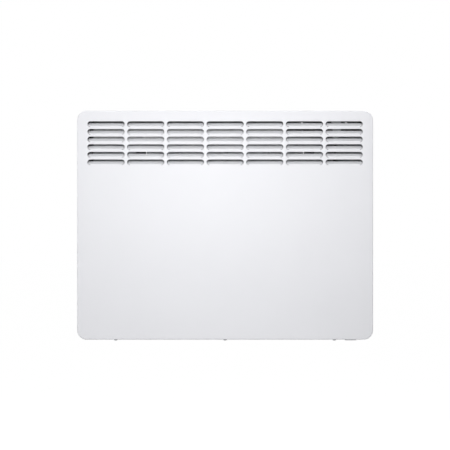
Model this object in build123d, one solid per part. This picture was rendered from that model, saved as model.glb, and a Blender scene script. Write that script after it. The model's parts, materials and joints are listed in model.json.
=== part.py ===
from build123d import *
import os
from math import cos, radians, sin

# Wall panel convector heater, in millimetres, at its real size.
# X runs to the right, the louvred front faces -Y, +Z is up. The origin is on the wall plane, in the
# middle of the four wall-screw holes of the bracket, which is also the casing's mid-height.

# ---------------------------------------------------------------- casing
CASING_W = 582.0
CASING_H = 450.0
OVERALL_D = 100.0  # wall plane to the front face
WALL_GAP = 22.0  # wall plane to the rear of the casing
SHEET = 1.0
CORNER_R = 19.0
EDGE_R = 2.5

FRONT_Y = -OVERALL_D
REAR_Y = -WALL_GAP
TOP_Z = CASING_H / 2
BASE_Z = -CASING_H / 2
INNER_TOP_Z = TOP_Z - SHEET
INNER_BASE_Z = BASE_Z + SHEET
CHASSIS_Y = REAR_Y - SHEET  # front face of the rear panel, which the inner pieces stand on

# ---------------------------------------------------------------- louvres in the front
LOUVRE_COLS = 7
LOUVRE_ROWS = 6
COL_PITCH = 78.0
ROW_PITCH = 15.0
LOUVRE_W = 72.8
LOUVRE_H = 11.0
FIRST_ROW_DROP = 20.8  # casing top to the top of the first slot
FLAP_REACH = 7.5  # height of the bent flap, seen from the front
FLAP_SLACK_R = 15.0  # the flap first leans in on a wide arc, and then bends on a tight one
FLAP_LEAN = 10.0
FLAP_BEND_R = 1.5
FLAP_ANGLE = 56.0
FLAP_RUN = 10.0  # straight part of the flap after its bend, before it is trimmed
KERF = 0.8
END_R = LOUVRE_H / 2
BEND_HALF = LOUVRE_W / 2 - END_R  # half the length of the bend line
END_FLATS = 6

# ---------------------------------------------------------------- underside
INLET_COLUMNS = (-156.0, -78.0, 78.0, 156.0)
INLET_ROWS_Y = (-43.0, -54.0, -65.0)
INLET_W = 72.0
INLET_H = 6.0
SCREW_X = (-216.0, 0.0, 216.0)
SCREW_Y = -72.0
SCREW_SHANK_R = 1.9
SCREW_HEAD_R = 3.65
SCREW_HEAD_H = 2.8

# ---------------------------------------------------------------- wall bracket and its hooks
BRACKET_T = 2.0
HOOK_X = 157.5  # inner face of each hook
UPRIGHT_W = 24.0
UPRIGHT_Z = (-145.0, 165.0)
UPRIGHT_DEPTH = 20.0
HOOK_TOPS = (150.0, -110.0)  # each hook's bearing face, where a hole's top edge rests
HOOK_ARM_H = 8.0
HOOK_REACH_Y = -31.0
HOOK_NOSE_Y = -26.0
HOOK_NOSE_RISE = 6.0
HOOK_HOLE_X = (156.0, 178.0)
HOOK_HOLE_H = 18.0
CROSSBAR_Z = (95.0, -95.0)
CROSSBAR_H = 30.0
CROSSBAR_LIP = 8.0
WALL_HOLE_X = 120.0
WALL_HOLE_R = 3.5

# ---------------------------------------------------------------- rear panel
PANEL_GAP = 0.2  # panel edge to the casing's walls at the sides and top
PANEL_FLANGE = 15.0
EAR_W = 30.0
EAR_REACH_Y = -80.0
BEAD_X = (-90.0, 0.0, 90.0)
BEAD_L = 300.0
BEAD_W = 12.0
BEAD_D = 2.0
BEAD_TAPER = 40.0
CABLE_X = 232.0
CABLE_Z = -190.0
CABLE_HOLE_R = 6.5
CABLE_BORE_R = 4.5

# ---------------------------------------------------------------- air duct
LEFT_PLATE_X = -263.0  # inner face of the end plate
PARTITION_X = 199.5  # inner face of the side partition
LIP = 12.0
DUCT_FRONT_Y = -90.0
DUCT_BASE_Z = -200.0
DUCT_TOP_Z = 92.0
END_PLATE_TOP_Z = 222.0
BAFFLE_FOLD = 10.0
SHIELD_Y = -36.0
SHIELD_X = (-248.0, 182.0)
SHIELD_TOP_Z = 112.0
SHIELD_FOOT = 12.0
GUIDE_T = 0.8
GUIDE_R = 52.0
GUIDE_X = (-262.0, 118.0)
GUIDE_FOOT_Z = 160.0
WIRE_HOLE_Y = -48.0
WIRE_HOLE_Z = -60.0

# ---------------------------------------------------------------- hex screws through the rear panel
HEX_R = 4.0
HEX_H = 2.5
HEX_SHANK_R = 1.5
HEX_SHANK_L = 6.0
HEX_PLACES = (
    [(LEFT_PLATE_X - LIP / 2, z) for z in (-180.0, 100.0, 200.0)]
    + [(PARTITION_X + LIP / 2, z) for z in (-180.0, 170.0)]
    + [(SHIELD_X[0] - SHIELD_FOOT / 2, z) for z in (-160.0, 80.0)]
    + [(SHIELD_X[1] + SHIELD_FOOT / 2, z) for z in (-160.0, 80.0)]
    + [(x, GUIDE_FOOT_Z + 6) for x in (-220.0, 45.0)]
)

# ---------------------------------------------------------------- heating element
ELEMENT_Y = -62.0
ELEMENT_Z = -150.0
ELEMENT_X = (-240.0, 168.0)
ROD_X = (-272.0, 210.0)
CORE_R = 9.0
ROD_R = 4.0
WING_T = 2.4
WING_REACH = 27.0
WING_ANGLES = (35.0, 145.0, 215.0, 325.0)
WING_SLITS = 6
SLIT_W = 2.0
BUSH_R = 8.0
BUSH_FLANGE_R = 11.0
BUSH_FLANGE_L = 6.0
BUSH_NECK_L = 7.0
SPADE_W = 6.3
SPADE_T = 0.8
LIMITER_X = 60.0
LIMITER_Z = -100.0

# ---------------------------------------------------------------- mains side
BLOCK_X = (212.0, 250.0)
BLOCK_Z = (-152.0, -134.0)
BLOCK_D = 17.0
POLE_X = (219.0, 231.0, 243.0)
LOOM_X = 215.5
LOOM_Y = -84.0
LOOM_R = 3.2
SWITCH_LOOM_X = 216.0
SWITCH_LOOM_Y = -77.3
SWITCH_LOOM_R = 1.9
LEAD_R = 1.4
SENSOR_Y = -80.0
SENSOR_Z = -205.0
SENSOR_LEAD_X = 213.2
SENSOR_LEAD_Y = -74.0
SENSOR_LEAD_R = 0.9

# ---------------------------------------------------------------- control unit under the top
CONTROL_X = 194.5
CONTROL_Y = -64.0
BEZEL_W = 100.0
BEZEL_D = 44.0
BEZEL_LEDGE = 2.0
BEZEL_BASE_Z = 221.5
FIT_GAP = 0.2
WINDOW_X = 172.5
WINDOW_W = 46.0
WINDOW_D = 26.0
WINDOW_T = 1.5
KEY_SIZE = 10.0
KEY_PROUD = 0.6
KEY_TRAVEL = 0.8
KEY_FLANGE = 1.0
KEY_FLANGE_H = 0.8
KEYS = {
    "key_menu": (211.5, CONTROL_Y + 7.5),
    "key_plus": (229.5, CONTROL_Y + 7.5),
    "key_ok": (211.5, CONTROL_Y - 7.5),
    "key_minus": (229.5, CONTROL_Y - 7.5),
}
HOUSING_X = (120.0, 269.0)
HOUSING_Y = (-90.0, -37.0)
HOUSING_BASE_Z = 188.0
HOUSING_WALL = 2.0
RECESS_X = (209.6, 228.2)  # for the connector, in the housing's front wall
RECESS_Y = -82.0
RECESS_TOP_Z = 204.6
RECESS_WALL = 1.0
CONNECTOR_BASE_Z = 182.0
PLUG_X = (212.2, 222.9)  # narrower part below the connector, where the looms enter
PLUG_Y = (-89.5, -73.0)
PLUG_BASE_Z = 171.0
CLIP_X = (151.0, 238.0)
CLIP_Z = (192.0, 202.2)
CLIP_W = 3.4
CLIP_T = 1.2
BOARD_Z = 206.0
BOARD_T = 1.6
BOARD_TOP_Z = BOARD_Z + BOARD_T

# ---------------------------------------------------------------- rocker switch in the underside
ROCKER_X = 247.0
ROCKER_Y = -73.0
RIM_W = 22.8
RIM_L = 30.0
RIM_H = 1.7
SWITCH_BODY_W = 20.4
SWITCH_BODY_L = 27.4
SWITCH_TOP_Z = -203.0
SWITCH_SPADE_L = 9.0
ROCKER_W = 16.0
ROCKER_HALF_L = 11.0
ROCKER_RECESS = 0.9  # of the pressed lobe, in the rim
ROCKER_SWING = 10.0
ROCKER_PIVOT_H = 3.5  # above the casing's underside
ROCKER_PIN_R = 1.5
ROCKER_PIN_L = 1.0
PIN_CLEARANCE = 0.05
ROCKER_WELL = 9.0


# ================================================================ helpers
def block(x, y, z):
    """Box between three (low, high) ranges."""
    size = [high - low for low, high in (x, y, z)]
    centre = [(high + low) / 2 for low, high in (x, y, z)]
    return Pos(*centre) * Box(*size)


def plate(sketch, front, back):
    """A sketch drawn in X and Z, as thick as the way from the front plane to the back one."""
    return extrude(Plane.XZ.offset(-back) * sketch, back - front)


def post(sketch, base, top):
    """A sketch drawn in X and Y, standing from one height to another."""
    return extrude(Plane.XY.offset(base) * sketch, top - base)


def beam(sketch, left, right):
    """A section drawn in Y and Z, run along X."""
    return extrude(Plane.YZ.offset(left) * sketch, right - left)


def span(x, y):
    """Rectangle between two (low, high) ranges of its sketch."""
    middle = Pos((x[0] + x[1]) / 2, (y[0] + y[1]) / 2)
    return middle * Rectangle(x[1] - x[0], y[1] - y[0])


def octagon(x, y, radius):
    return Pos(x, y) * RegularPolygon(radius, 8)


def hexagon(x, y, radius):
    return Pos(x, y) * RegularPolygon(radius, 6)


def lead(points, radius):
    """Insulated lead: a tube of six flats along straight runs, mitred where it turns."""
    path = Polyline(*points)
    section = Plane(path @ 0, z_dir=path % 0) * RegularPolygon(radius, 6)
    return sweep(section, path=path, transition=Transition.RIGHT)


def pan_screw(head_r, head_h, shank_r, shank_l):
    """Pan-head screw on Z: the head is below z = 0, where it bears, and the shank above."""
    rim_h = 0.4 * head_h
    outline = RegularPolygon(head_r, 12)
    rim = post(outline, -rim_h, 0)
    crown = extrude(Plane.XY.offset(-rim_h) * outline, rim_h - head_h, taper=40)
    return rim + crown + post(octagon(0, 0, shank_r), 0, shank_l)


# ================================================================ front casing
def round_end(centre, half_width, rise, start, stop, flats):
    """Points along part of an ellipse, so that a round end is drawn with a few flats."""
    turns = [radians(start + (stop - start) * i / flats) for i in range(flats + 1)]
    return [(centre[0] + half_width * cos(t), centre[1] + rise * sin(t)) for t in turns]


def both_ends(points):
    """Face through the points and their mirror image on the left."""
    mirrored = [(-x, z) for x, z in reversed(points)]
    return make_face(Polyline(*points, *mirrored, close=True))


def louvre_slot():
    """Round-ended slot through the front; its lower edge is at z = 0."""
    end = round_end((BEND_HALF, END_R), END_R, END_R, -90, 90, END_FLATS)
    return plate(both_ends(end), FRONT_Y - SHEET, FRONT_Y + 2 * SHEET)


def louvre_outline():
    """The flap as seen from the front: cut along the slot's ends and foreshortened by its bend."""
    cut_r = END_R - KERF
    lower = round_end((BEND_HALF, END_R), cut_r, cut_r, -90, -15, 2)
    belly_x, belly_z = lower[-1]
    upper = round_end((BEND_HALF, belly_z), belly_x - BEND_HALF, FLAP_REACH - belly_z, 0, 90, 3)
    return both_ends([(BEND_HALF, 0)] + lower[1:] + upper[1:])


def flap_skin(depth):
    """Section of the flap at a depth in its sheet: the wide arc, and the tight arc tangent to it."""
    wide_r, tight_r = FLAP_SLACK_R - depth, FLAP_BEND_R - depth
    apart = FLAP_SLACK_R - FLAP_BEND_R
    wide = (FRONT_Y + FLAP_SLACK_R, 0)
    tight = (wide[0] - apart * cos(radians(FLAP_LEAN)), apart * sin(radians(FLAP_LEAN)))
    points = round_end(wide, -wide_r, wide_r, 0, FLAP_LEAN, 1)
    points += round_end(tight, -tight_r, tight_r, FLAP_LEAN, FLAP_ANGLE, 2)[1:]
    return [Vector(*point) for point in points]


def louvre_flap():
    """Flap bent inwards about the slot's lower edge, one sheet thick, with that edge at z = 0."""
    outer, inner = flap_skin(0), flap_skin(SHEET)
    run = Vector(sin(radians(FLAP_ANGLE)), cos(radians(FLAP_ANGLE))) * FLAP_RUN
    section = make_face(Polyline(*outer, outer[-1] + run, inner[-1] + run, *inner[::-1], close=True))
    strip = beam(section, -LOUVRE_W / 2, LOUVRE_W / 2)
    return strip & plate(louvre_outline(), FRONT_Y - SHEET, DUCT_FRONT_Y)


def louvre_places():
    """Where each louvre's lower edge is, column by column."""
    first_x = -COL_PITCH * (LOUVRE_COLS - 1) / 2
    first_z = TOP_Z - FIRST_ROW_DROP - LOUVRE_H
    return [
        Pos(first_x + col * COL_PITCH, 0, first_z - row * ROW_PITCH)
        for col in range(LOUVRE_COLS)
        for row in range(LOUVRE_ROWS)
    ]


def hood(inset, back):
    """The casing's rounded box, drawn inside its outer face by the inset."""
    width = CASING_W - 2 * inset
    height = CASING_H - 2 * inset
    return plate(RectangleRounded(width, height, CORNER_R - inset), FRONT_Y + inset, back)


def front_edges(body):
    return body.faces().sort_by(Axis.Y)[0].edges()


def underside_cuts():
    """Air inlet slots, screw holes and the switch cut-out, through the casing's bottom wall."""
    end_r = INLET_H / 2
    end = round_end((INLET_W / 2 - end_r, 0), end_r, end_r, -90, 90, 3)
    slots = [Pos(x, y) * both_ends(end) for x in INLET_COLUMNS for y in INLET_ROWS_Y]
    holes = [octagon(x, SCREW_Y, SCREW_SHANK_R + 0.4) for x in SCREW_X]
    switch = Pos(ROCKER_X, ROCKER_Y) * Rectangle(SWITCH_BODY_W + 0.2, SWITCH_BODY_L + 0.2)
    return [post(shape, BASE_Z - SHEET, BASE_Z + 2 * SHEET) for shape in slots + holes + [switch]]


def front_casing():
    """One folded and welded steel hood, open at the back, with its louvres lanced in the front."""
    outside = hood(0, REAR_Y)
    inside = hood(SHEET, REAR_Y + SHEET)
    shell = fillet(front_edges(outside), EDGE_R) - chamfer(front_edges(inside), EDGE_R - SHEET)
    places = louvre_places()
    slot = louvre_slot()
    flap = louvre_flap()
    bezel_hole = Pos(CONTROL_X, CONTROL_Y) * Rectangle(BEZEL_W, BEZEL_D)
    shell -= [place * slot for place in places]
    shell -= underside_cuts() + [post(bezel_hole, TOP_Z - 2 * SHEET, TOP_Z + SHEET)]
    shell += [place * flap for place in places]
    return shell


# ================================================================ chassis
def panel_outline(inset):
    """The rear panel's outline: it stands on the casing's bottom wall, clear of the other three."""
    width = CASING_W - 2 * (SHEET + PANEL_GAP + inset)
    height = CASING_H - 2 * SHEET - PANEL_GAP - 2 * inset
    radius = CORNER_R - SHEET - PANEL_GAP - inset
    return Pos(0, -PANEL_GAP / 2) * RectangleRounded(width, height, radius)


def hex_screw_holes():
    """Hole for every hex screw, through the rear panel and the foot in front of it."""
    return [plate(hexagon(x, z, HEX_SHANK_R), CHASSIS_Y - 2 * SHEET, REAR_Y + 1) for x, z in HEX_PLACES]


def rear_panel():
    """Galvanised tray with hook holes, three embossed beads and ears for the casing screws."""
    flange_y = REAR_Y - PANEL_FLANGE
    tray = plate(panel_outline(0), flange_y, REAR_Y)
    tray -= plate(panel_outline(SHEET), flange_y - 1, CHASSIS_Y)
    ear = block((-EAR_W / 2, EAR_W / 2), (EAR_REACH_Y, flange_y), (INNER_BASE_Z, INNER_BASE_Z + SHEET))
    hole = post(octagon(0, SCREW_Y, SCREW_SHANK_R), INNER_BASE_Z - SHEET, INNER_BASE_Z + 2 * SHEET)
    tray += [Pos(x, 0, 0) * ear for x in SCREW_X]
    tray -= [Pos(x, 0, 0) * hole for x in SCREW_X]
    bead = Rectangle(BEAD_W, BEAD_L)
    bead_inside = Rectangle(BEAD_W - 2 * SHEET, BEAD_L - 2 * SHEET)
    bump = extrude(Plane.XZ.offset(WALL_GAP) * bead, -BEAD_D, taper=BEAD_TAPER)
    hollow = extrude(Plane.XZ.offset(-CHASSIS_Y) * bead_inside, -BEAD_D, taper=BEAD_TAPER)
    tray += [Pos(x, 0, 0) * bump for x in BEAD_X]
    tray -= [Pos(x, 0, 0) * hollow for x in BEAD_X]
    for top in HOOK_TOPS:
        for side in (-1, 1):
            sides = sorted((side * HOOK_HOLE_X[0], side * HOOK_HOLE_X[1]))
            tray -= block(sides, (CHASSIS_Y - 1, REAR_Y + 1), (top - HOOK_HOLE_H, top))
    cable = Pos(CABLE_X, CABLE_Z) * RegularPolygon(CABLE_HOLE_R, 16)
    return tray - plate(cable, CHASSIS_Y - 1, REAR_Y + 1) - hex_screw_holes()


def rear_heat_shield():
    """Hat-section sheet that keeps the element's heat off the rear panel."""
    left, right = SHIELD_X
    outer = span((left, right), (SHIELD_Y, CHASSIS_Y))
    hollow = span((left + SHEET, right - SHEET), (SHIELD_Y + SHEET, CHASSIS_Y))
    foot = span((0, SHIELD_FOOT), (CHASSIS_Y - SHEET, CHASSIS_Y))
    section = outer - hollow + Pos(left - SHIELD_FOOT, 0) * foot + Pos(right, 0) * foot
    return post(section, DUCT_BASE_Z, SHIELD_TOP_Z) - hex_screw_holes()


def duct_side(x, toward, base, top):
    """C-section wall of the air duct, its lips turned away from the element, with the bush's hole."""
    outer = span(sorted((x, x + toward * LIP)), (DUCT_FRONT_Y, CHASSIS_Y))
    between_lips = (DUCT_FRONT_Y + SHEET, CHASSIS_Y - SHEET)
    hollow = span(sorted((x + toward * SHEET, x + toward * (LIP + 1))), between_lips)
    wall = post(outer - hollow, base, top)
    hole = Pos(ELEMENT_Y, ELEMENT_Z) * RegularPolygon(BUSH_R, 16)
    return wall - beam(hole, x - LIP / 2, x + LIP / 2) - hex_screw_holes()


def end_plate():
    return duct_side(LEFT_PLATE_X, -1, DUCT_BASE_Z, END_PLATE_TOP_Z)


def side_partition():
    """Wall between the duct and the mains side, with a hole for the limiter's leads."""
    wall = duct_side(PARTITION_X, 1, INNER_BASE_Z + SHEET, HOUSING_BASE_Z)
    return wall - beam(octagon(WIRE_HOLE_Y, WIRE_HOLE_Z, 5), PARTITION_X - 1, PARTITION_X + 2 * SHEET)


def air_baffle():
    """Front sheet of the duct, flat on the side walls' lips, its long edges turned back between them."""
    y = DUCT_FRONT_Y - SHEET / 2
    folds = [
        (y + BAFFLE_FOLD, DUCT_BASE_Z - BAFFLE_FOLD / 2),
        (y, DUCT_BASE_Z),
        (y, DUCT_TOP_Z),
        (y + BAFFLE_FOLD, DUCT_TOP_Z + BAFFLE_FOLD),
    ]
    section = trace(FilletPolyline(*folds, radius=3), SHEET)
    folded = beam(section, LEFT_PLATE_X, PARTITION_X)
    margin = 6
    flat = block(
        (LEFT_PLATE_X - LIP, PARTITION_X + LIP),
        (DUCT_FRONT_Y - SHEET, DUCT_FRONT_Y),
        (DUCT_BASE_Z + margin, DUCT_TOP_Z - margin),
    )
    return folded + flat


def air_guide():
    """Quarter-round sheet that turns the rising air out through the louvres."""
    centre = (CHASSIS_Y - GUIDE_R, INNER_TOP_Z - GUIDE_R)
    outer = CenterArc(centre, GUIDE_R, 0, 90)
    inner = CenterArc(centre, GUIDE_R - GUIDE_T, 0, 90)
    land = Vector(-LIP, 0)
    foot = Vector(0, GUIDE_FOOT_Z - centre[1])
    section = make_face(
        [
            Line((outer @ 0) + foot, outer @ 0),
            outer,
            Line(outer @ 1, (outer @ 1) + land),
            Line((outer @ 1) + land, (inner @ 1) + land),
            Line((inner @ 1) + land, inner @ 1),
            inner,
            Line(inner @ 0, (inner @ 0) + foot),
            Line((inner @ 0) + foot, (outer @ 0) + foot),
        ]
    )
    return beam(section, *GUIDE_X) - hex_screw_holes()


# ================================================================ heating element
def element_section(shape):
    return Pos(ELEMENT_Y, ELEMENT_Z) * shape


def element_body():
    """Cast aluminium body: a core with four slitted wings that spread as an X."""
    section = RegularPolygon(CORE_R, 12)
    for angle in WING_ANGLES:
        section += Rotation(0, 0, angle) * span((0, WING_REACH), (-WING_T / 2, WING_T / 2))
    section -= RegularPolygon(ROD_R, 12)
    left, right = ELEMENT_X
    body = beam(element_section(section), left, right)
    around_core = Rectangle(3 * WING_REACH, 3 * WING_REACH) - RegularPolygon(CORE_R + 3, 12)
    slit = beam(element_section(around_core), -SLIT_W / 2, SLIT_W / 2)
    pitch = (right - left) / (WING_SLITS + 1)
    return body - [Pos(left + pitch * (i + 1), 0, 0) * slit for i in range(WING_SLITS)]


def element_rod():
    """Sheathed heater rod through the core and both bushes, with a spade terminal at its right end."""
    rod = beam(element_section(RegularPolygon(ROD_R, 12)), *ROD_X)
    spade = beam(element_section(Rectangle(SPADE_W, SPADE_T)), ROD_X[1], ROD_X[1] + 10)
    return rod + spade


def ceramic_bushes():
    """Flanged bush in each duct side, its flange towards the element."""
    bore = RegularPolygon(ROD_R, 12)
    neck = RegularPolygon(BUSH_R, 16) - bore
    flange = RegularPolygon(BUSH_FLANGE_R, 16) - bore
    bushes = []
    for x, toward in ((LEFT_PLATE_X, -1), (PARTITION_X, 1)):
        neck_x = sorted((x, x + toward * BUSH_NECK_L))
        flange_x = sorted((x - toward * BUSH_FLANGE_L, x))
        bushes.append(beam(element_section(neck), *neck_x) + beam(element_section(flange), *flange_x))
    return Compound(bushes)


def overheat_limiter():
    """Bimetal disc limiter on the heat shield, above the element."""
    flange = plate(Pos(LIMITER_X, LIMITER_Z) * Rectangle(34, 12), SHIELD_Y - 1, SHIELD_Y)
    cup = plate(Pos(LIMITER_X, LIMITER_Z) * RegularPolygon(8, 16), SHIELD_Y - 10, SHIELD_Y - 1)
    spade = Rectangle(SPADE_T, SPADE_W)
    spades = [
        plate(Pos(LIMITER_X + x, LIMITER_Z) * spade, SHIELD_Y - 18, SHIELD_Y - 10) for x in (-5, 5)
    ]
    return flange + cup + spades


# ================================================================ mains inlet and wiring
def terminal_block():
    """Three-pole block on the rear panel, with a screw well in front and a port below for each pole."""
    front = CHASSIS_Y - BLOCK_D
    body = block(BLOCK_X, (front, CHASSIS_Y), BLOCK_Z)
    middle_z = sum(BLOCK_Z) / 2
    wells = [plate(octagon(x, middle_z, 3.2), front - 1, front + 8) for x in POLE_X]
    port_y = (CHASSIS_Y - 8, CHASSIS_Y - 3)
    port_z = (BLOCK_Z[0] - 1, BLOCK_Z[0] + 6)
    ports = [block((x - 3, x + 3), port_y, port_z) for x in POLE_X]
    return body - wells - ports


def earth_stud():
    """Brass stud with its nut, on the rear panel."""
    centre = (266, sum(BLOCK_Z) / 2)
    nut = plate(Pos(*centre) * RegularPolygon(4.5, 6), CHASSIS_Y - 4, CHASSIS_Y)
    return nut + plate(octagon(*centre, 2), CHASSIS_Y - 12, CHASSIS_Y - 4)


def cable_bushing():
    """Rubber bushing in the rear panel, through which the supply enters, its rim on the outside."""
    centre = Pos(CABLE_X, CABLE_Z)
    bore = Circle(CABLE_BORE_R)
    neck = plate(centre * (RegularPolygon(CABLE_HOLE_R, 16) - bore), CHASSIS_Y - 3, REAR_Y)
    rim = plate(centre * (RegularPolygon(CABLE_HOLE_R + 3, 16) - bore), REAR_Y, REAR_Y + 3)
    return neck + rim


def supply_loom():
    """Sleeved bundle from the terminal block up to the plug of the control connector."""
    x, y = POLE_X[1], CHASSIS_Y - BLOCK_D + 5
    path = FilletPolyline(
        (x, y, BLOCK_Z[1]),
        (x, y, -110),
        (LOOM_X, LOOM_Y, -20),
        (LOOM_X, LOOM_Y, PLUG_BASE_Z),
        radius=[20, 40],
    )
    section = Plane(path @ 0, z_dir=path % 0) * RegularPolygon(LOOM_R, 8)
    return sweep(section, path=path)


def switch_loom():
    """Thin bundle from the rocker switch's middle spade up to the same plug, behind the supply loom."""
    points = [
        (ROCKER_X, ROCKER_Y, SWITCH_TOP_Z + SWITCH_SPADE_L),
        (ROCKER_X, ROCKER_Y, -150),
        (SWITCH_LOOM_X + 14, SWITCH_LOOM_Y + 3, -60),
        (SWITCH_LOOM_X + 14, SWITCH_LOOM_Y + 3, 10),
        (SWITCH_LOOM_X, SWITCH_LOOM_Y, 80),
        (SWITCH_LOOM_X, SWITCH_LOOM_Y, PLUG_BASE_Z),
    ]
    return lead(points, SWITCH_LOOM_R)


def element_leads():
    """One lead from the heater's spade to the block, and two from the limiter through the partition."""
    spade_end = ROD_X[1] + 10
    port_y = CHASSIS_Y - BLOCK_D + 5
    hole_y, hole_z = WIRE_HOLE_Y, WIRE_HOLE_Z
    from_rod = [
        (spade_end, ELEMENT_Y, ELEMENT_Z),
        (spade_end + 30, ELEMENT_Y, ELEMENT_Z),
        (spade_end + 38, ELEMENT_Y + 6, ELEMENT_Z + 30),
        (POLE_X[2], port_y, ELEMENT_Z + 34),
        (POLE_X[2], port_y, BLOCK_Z[1]),
    ]
    from_limiter = [
        (LIMITER_X + 5, SHIELD_Y - 18, LIMITER_Z),
        (LIMITER_X + 5, SHIELD_Y - 26, LIMITER_Z),
        (LIMITER_X + 30, hole_y - 10, LIMITER_Z + 12),
        (PARTITION_X - 50, hole_y, hole_z),
        (POLE_X[0] - 6, hole_y, hole_z),
        (POLE_X[0], port_y, hole_z - 20),
        (POLE_X[0], port_y, BLOCK_Z[1]),
    ]
    return Compound([lead(from_rod, LEAD_R), lead(from_limiter, LEAD_R)])


def control_connector():
    """Grey connector let into the housing's front wall, with a narrower plug below it for the looms."""
    left, right = RECESS_X[0] + FIT_GAP, RECESS_X[1] - FIT_GAP
    front = HOUSING_Y[0] - 0.5
    in_recess = block((left, right), (front, RECESS_Y), (HOUSING_BASE_Z, RECESS_TOP_Z))
    below = block((PLUG_X[0], right), (front, PLUG_Y[1]), (CONNECTOR_BASE_Z, HOUSING_BASE_Z))
    return in_recess + below + block(PLUG_X, PLUG_Y, (PLUG_BASE_Z, CONNECTOR_BASE_Z))


def sensor_holder():
    """Moulded arm on the partition, with a hole for the room sensor near the inlet."""
    face = PARTITION_X + SHEET
    arm = block((face, face + 18), (SENSOR_Y - 5, SENSOR_Y + 5), (SENSOR_Z, SENSOR_Z + 4))
    return arm - post(octagon(face + 12, SENSOR_Y, 3), SENSOR_Z - 1, SENSOR_Z + 5)


def room_sensor():
    """Thermistor in its sleeve, held in the arm by its collar."""
    x = PARTITION_X + SHEET + 12
    sleeve = post(octagon(x, SENSOR_Y, 3), SENSOR_Z - 10, SENSOR_Z + 4)
    sleeve = chamfer(sleeve.faces().sort_by(Axis.Z)[0].edges(), 1)
    return sleeve + post(octagon(x, SENSOR_Y, 4.5), SENSOR_Z + 4, SENSOR_Z + 7)


def sensor_lead():
    """Thin pair from the sensor up to the plug of the control connector."""
    x = PARTITION_X + SHEET + 12
    points = [
        (x, SENSOR_Y, SENSOR_Z + 7),
        (x, SENSOR_Y, -120),
        (SENSOR_LEAD_X, SENSOR_LEAD_Y - SENSOR_LEAD_R, -80),
        (SENSOR_LEAD_X, SENSOR_LEAD_Y - SENSOR_LEAD_R, PLUG_BASE_Z),
    ]
    return lead(points, SENSOR_LEAD_R)


# ================================================================ control unit
def housing_plan(inset, corner):
    """The control housing's plan, its corners cut off, drawn inside its outer face by the inset."""
    (left, right), (front, back) = HOUSING_X, HOUSING_Y
    outline = span((left + inset, right - inset), (front + inset, back - inset))
    return chamfer(outline.vertices(), corner)


def control_housing():
    """Moulded tray under the top wall, with posts for the board and a recess for the connector."""
    (left, right), (front, back) = HOUSING_X, HOUSING_Y
    floor = HOUSING_BASE_Z + HOUSING_WALL
    tray = post(housing_plan(0, 5), HOUSING_BASE_Z, INNER_TOP_Z)
    tray -= post(housing_plan(HOUSING_WALL, 3), floor, TOP_Z)
    posts = [
        post(Pos(x, y) * Rectangle(7, 7), floor, BOARD_Z)
        for x in (left + 8, right - 8)
        for y in (front + 8, back - 8)
    ]
    recess_x = (RECESS_X[0] - RECESS_WALL, RECESS_X[1] + RECESS_WALL)
    recess_z = (HOUSING_BASE_Z, RECESS_TOP_Z + RECESS_WALL)
    tray += posts + [block(recess_x, (front, RECESS_Y + RECESS_WALL), recess_z)]
    return tray - block(RECESS_X, (front - 1, RECESS_Y), (HOUSING_BASE_Z - 1, RECESS_TOP_Z))


def housing_clips():
    """Two bright spring clips on the housing's front wall."""
    front = HOUSING_Y[0]
    half = CLIP_W / 2
    return Compound([block((x - half, x + half), (front - CLIP_T, front), CLIP_Z) for x in CLIP_X])


def control_board():
    """Printed board on the housing's posts."""
    inset = HOUSING_WALL + 0.5
    return post(housing_plan(inset, 2.5), BOARD_Z, BOARD_TOP_Z)


def on_board(x, y, height):
    """Component standing on the board."""
    return block(x, y, (BOARD_TOP_Z, BOARD_TOP_Z + height))


def board_capacitor():
    return post(Pos(255, CONTROL_Y - 10) * RegularPolygon(5, 16), BOARD_TOP_Z, BOARD_TOP_Z + 12)


def display():
    """Display glass in its frame, standing on the board under the window."""
    frame = on_board((WINDOW_X - 26, WINDOW_X + 26), (CONTROL_Y - 16, CONTROL_Y + 16), 12.5)
    glass = Pos(WINDOW_X, CONTROL_Y) * Rectangle(44, 24)
    top = BOARD_TOP_Z + 12.5
    return frame - post(glass, top - 0.8, top + 1)


def key_switches():
    """Four tall push switches on the board, one under each key."""
    stem_top = BEZEL_BASE_Z - KEY_FLANGE_H - KEY_TRAVEL - 0.1
    base_top = BOARD_TOP_Z + 4
    switches = []
    for x, y in KEYS.values():
        base = block((x - 3, x + 3), (y - 3, y + 3), (BOARD_TOP_Z, base_top))
        switches.append(base + post(octagon(x, y, 1.8), base_top, stem_top))
    return Compound(switches)


def control_bezel():
    """Moulded frame flush in the top wall, with a ledge under it, a window seat and key holes."""
    centre = Pos(CONTROL_X, CONTROL_Y)
    plug = centre * Rectangle(BEZEL_W - 2 * FIT_GAP, BEZEL_D - 2 * FIT_GAP)
    ledge = centre * Rectangle(BEZEL_W + 2 * BEZEL_LEDGE, BEZEL_D + 2 * BEZEL_LEDGE)
    frame = post(ledge, BEZEL_BASE_Z, INNER_TOP_Z) + post(plug, INNER_TOP_Z, TOP_Z)
    seat = Pos(WINDOW_X, CONTROL_Y) * Rectangle(WINDOW_W, WINDOW_D)
    sight = Pos(WINDOW_X, CONTROL_Y) * Rectangle(WINDOW_W - 4, WINDOW_D - 4)
    frame -= post(seat, TOP_Z - WINDOW_T, TOP_Z + 1)
    frame -= post(sight, BEZEL_BASE_Z - 1, TOP_Z)
    side = KEY_SIZE + 2 * FIT_GAP
    return frame - [
        post(Pos(x, y) * Rectangle(side, side), BEZEL_BASE_Z - 1, TOP_Z + 1) for x, y in KEYS.values()
    ]


def display_window():
    """Clear window, let into the bezel."""
    return post(Pos(WINDOW_X, CONTROL_Y) * Rectangle(WINDOW_W, WINDOW_D), TOP_Z - WINDOW_T, TOP_Z)


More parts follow.
